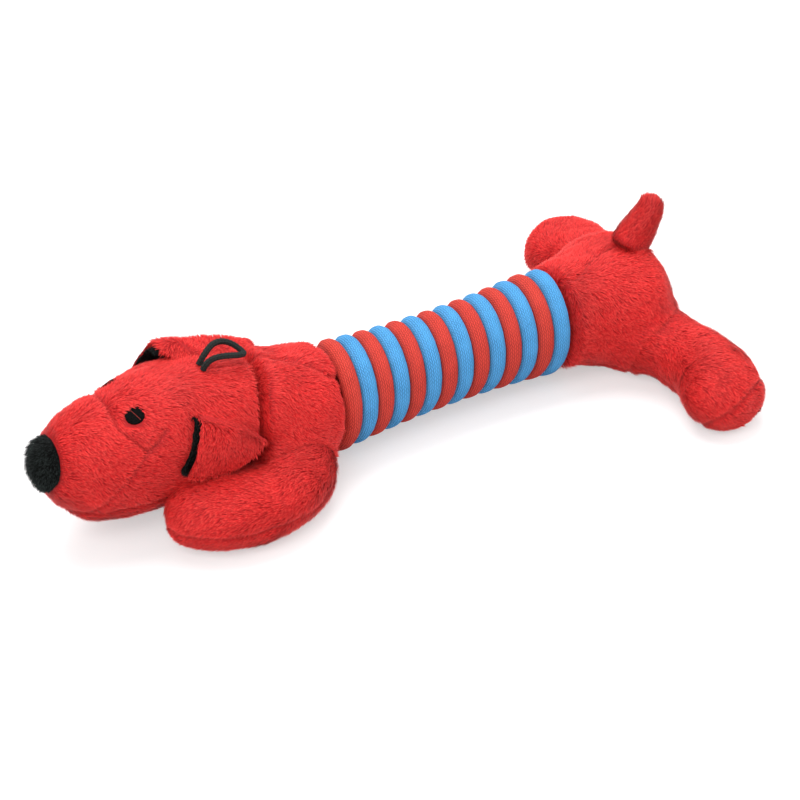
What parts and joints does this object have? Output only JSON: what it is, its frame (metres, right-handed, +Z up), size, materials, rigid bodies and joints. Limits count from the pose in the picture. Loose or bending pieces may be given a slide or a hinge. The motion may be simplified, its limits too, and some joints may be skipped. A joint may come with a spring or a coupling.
{
  "type": "squeaky dog toy",
  "caption": "Long plush dog that lies on its belly, with a body of two cords wound on a stuffed sleeve, droopy ears, a hang loop and a squeaker in its head.",
  "frame": {"origin": "middle of the toy's box in X and Y, on the floor that the toy lies on", "axes": "+X from the nose to the rump, +Y to the dog's right side, +Z up"},
  "size_m": [0.3184, 0.1676, 0.075],
  "materials": {
    "plush_red": "short red plush",
    "plush_black": "short black plush",
    "felt_black": "black felt",
    "cord_red": "braided red cotton cord",
    "cord_blue": "braided blue cotton cord",
    "loop_cord": "thin black cord",
    "canvas": "plain woven cotton",
    "fibre": "loose polyester fibre",
    "soft_vinyl": "soft translucent vinyl",
    "hard_plastic": "moulded plastic"
  },
  "bodies": {
    "torso": {"rope_blue": "cord_blue", "rope_red": "cord_red", "torso_sleeve": "canvas", "torso_stuffing": "fibre", "chest_cover": "plush_red", "chest_belly_panel": "plush_red", "rump_cover": "plush_red", "rump_belly_panel": "plush_red"},
    "head": {"head_cover": "plush_red", "muzzle_cover": "plush_red", "chin_panel": "plush_red", "nose_patch": "plush_black", "head_stuffing": "fibre", "squeaker_base": "hard_plastic", "squeaker_reed": "hard_plastic", "squeaker_bellows": "soft_vinyl", "hang_loop": "loop_cord", "eye_left": "felt_black", "eye_right": "felt_black"},
    "squeaker_press": {"squeaker_cap": "soft_vinyl"},
    "ear_left": {"ear_left": "plush_red", "ear_lining_left": "plush_black"},
    "ear_right": {"ear_right": "plush_red", "ear_lining_right": "plush_black"},
    "front_leg_left": {"front_leg_left": "plush_red", "front_sole_left": "plush_red"},
    "front_leg_right": {"front_leg_right": "plush_red", "front_sole_right": "plush_red"},
    "hind_leg_left": {"hind_leg_left": "plush_red", "hind_sole_left": "plush_red"},
    "hind_leg_right": {"hind_leg_right": "plush_red", "hind_sole_right": "plush_red"},
    "tail": {"tail": "plush_red"}
  },
  "joints": [
    {"name": "head_nod", "type": "hinge", "parent": "torso", "child": "head", "pos_m": [-0.0692, 0.00549, 0.059], "axis": [0, 1, 0], "range_deg": [0, 20], "stiffness_Nm_per_rad": 0.08},
    {"name": "squeaker_push", "type": "slide", "parent": "head", "child": "squeaker_press", "axis": [0, 0, -1], "range_m": [0, 0.006], "stiffness_N_per_m": 200, "deforming": ["squeaker_bellows"]},
    {"name": "ear_left_flap", "type": "hinge", "parent": "head", "child": "ear_left", "pos_m": [-0.08049, -0.00751, 0.0626], "axis": [-0.9624, -0.2502, 0.1059], "range_deg": [0, 100]},
    {"name": "ear_right_flap", "type": "hinge", "parent": "head", "child": "ear_right", "pos_m": [-0.08049, 0.01849, 0.0626], "axis": [0.9624, -0.2502, -0.1059], "range_deg": [0, 100]},
    {"name": "front_leg_left_swing", "type": "hinge", "parent": "torso", "child": "front_leg_left", "pos_m": [-0.0332, -0.02301, 0.027], "axis": [0, 0, 1], "range_deg": [0, 35], "stiffness_Nm_per_rad": 0.05},
    {"name": "front_leg_right_swing", "type": "hinge", "parent": "torso", "child": "front_leg_right", "pos_m": [-0.0332, 0.03399, 0.027], "axis": [0, 0, -1], "range_deg": [0, 35], "stiffness_Nm_per_rad": 0.05},
    {"name": "hind_leg_left_swing", "type": "hinge", "parent": "torso", "child": "hind_leg_left", "pos_m": [0.1127, -0.02551, 0.027], "axis": [0, 0, -1], "range_deg": [0, 35], "stiffness_Nm_per_rad": 0.05},
    {"name": "hind_leg_right_swing", "type": "hinge", "parent": "torso", "child": "hind_leg_right", "pos_m": [0.1127, 0.03649, 0.027], "axis": [0, 0, 1], "range_deg": [0, 35], "stiffness_Nm_per_rad": 0.05},
    {"name": "tail_bend", "type": "hinge", "parent": "torso", "child": "tail", "pos_m": [0.1437, 0.00549, 0.05], "axis": [0, 1, 0], "range_deg": [0, 50], "stiffness_Nm_per_rad": 0.01}
  ]
}
